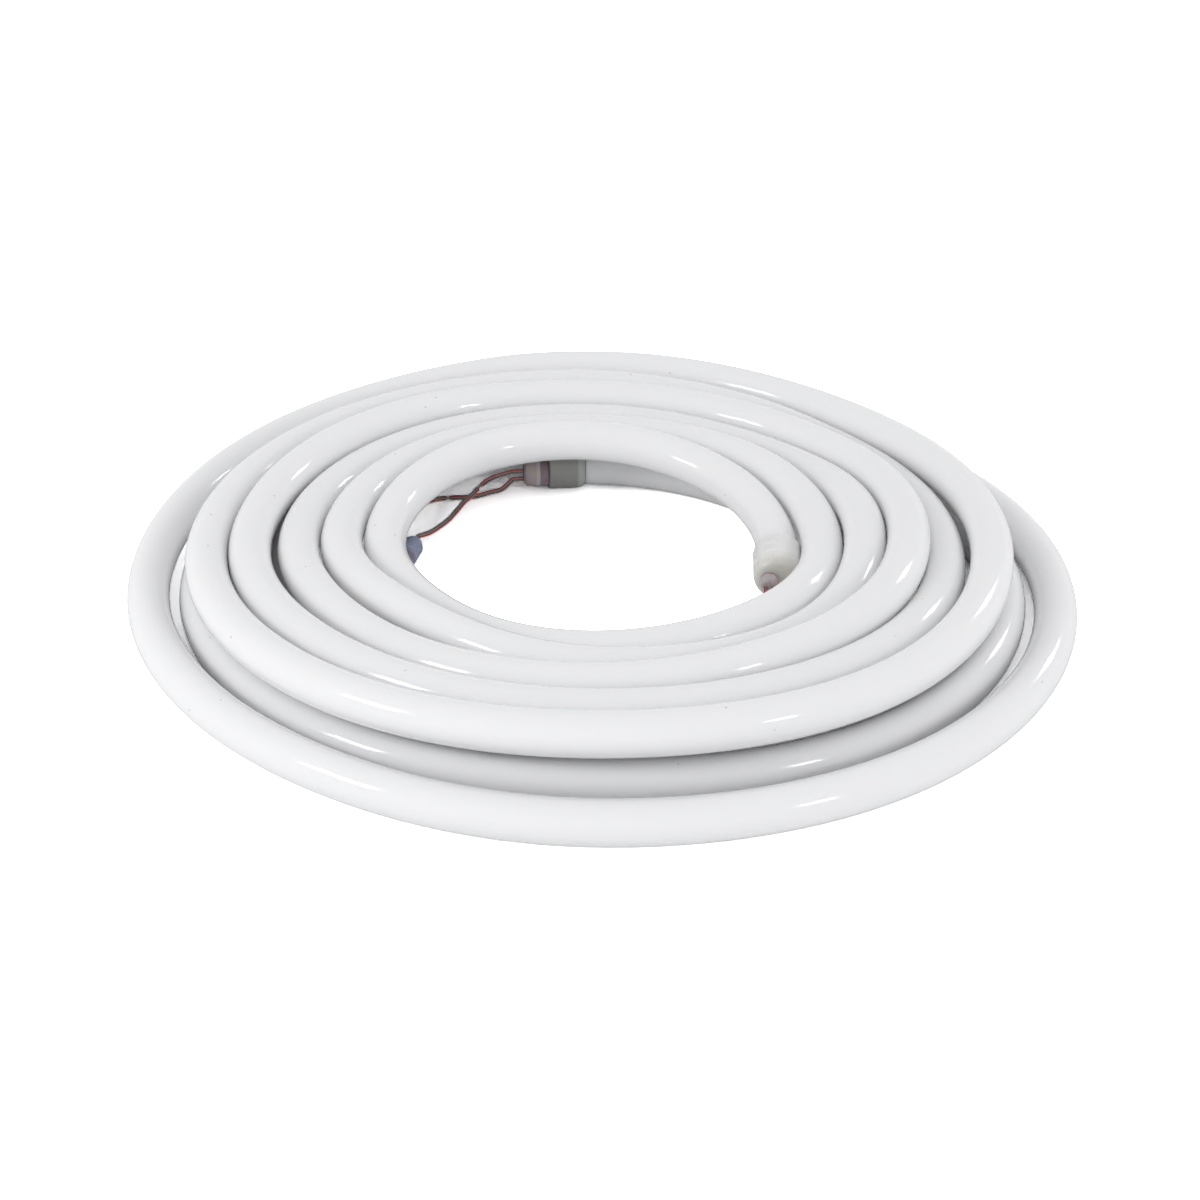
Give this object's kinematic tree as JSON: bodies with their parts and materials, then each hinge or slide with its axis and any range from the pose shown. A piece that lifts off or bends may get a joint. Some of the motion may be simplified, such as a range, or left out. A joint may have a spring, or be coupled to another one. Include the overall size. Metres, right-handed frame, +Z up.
{
  "type": "led neon flex",
  "caption": "Round milky neon flex laid in a loose two-layer coil, with an end cap at each end and thin twin leads that end in sealed connectors.",
  "frame": {"origin": "on the floor, under the middle of the coil's outline", "axes": "+Z up, +Y towards the back of the coil where the feed end lies, +X to the right where the tail end lies"},
  "size_m": [0.5588, 0.5426, 0.0619],
  "materials": {
    "milky_flex": "glossy milky silicone",
    "white_cap": "satin opaque white",
    "grey_cap": "satin grey, slightly see-through",
    "clear_boot": "clear glue-filled plastic with a pink tinge",
    "twin_lead": "red and dark grey cores in a clear jacket",
    "blue_plug": "glossy translucent blue-grey"
  },
  "bodies": {
    "root": {"flex_tube": "milky_flex", "tail_cap": "white_cap", "feed_cap": "grey_cap", "tail_boot": "clear_boot", "feed_boot": "clear_boot", "tail_lead_1": "twin_lead", "tail_lead_2": "twin_lead", "feed_lead_1": "twin_lead", "feed_lead_2": "twin_lead", "tail_connector_1": "blue_plug", "tail_connector_2": "blue_plug", "feed_connector_1": "blue_plug", "feed_connector_2": "blue_plug"}
  },
  "joints": []
}
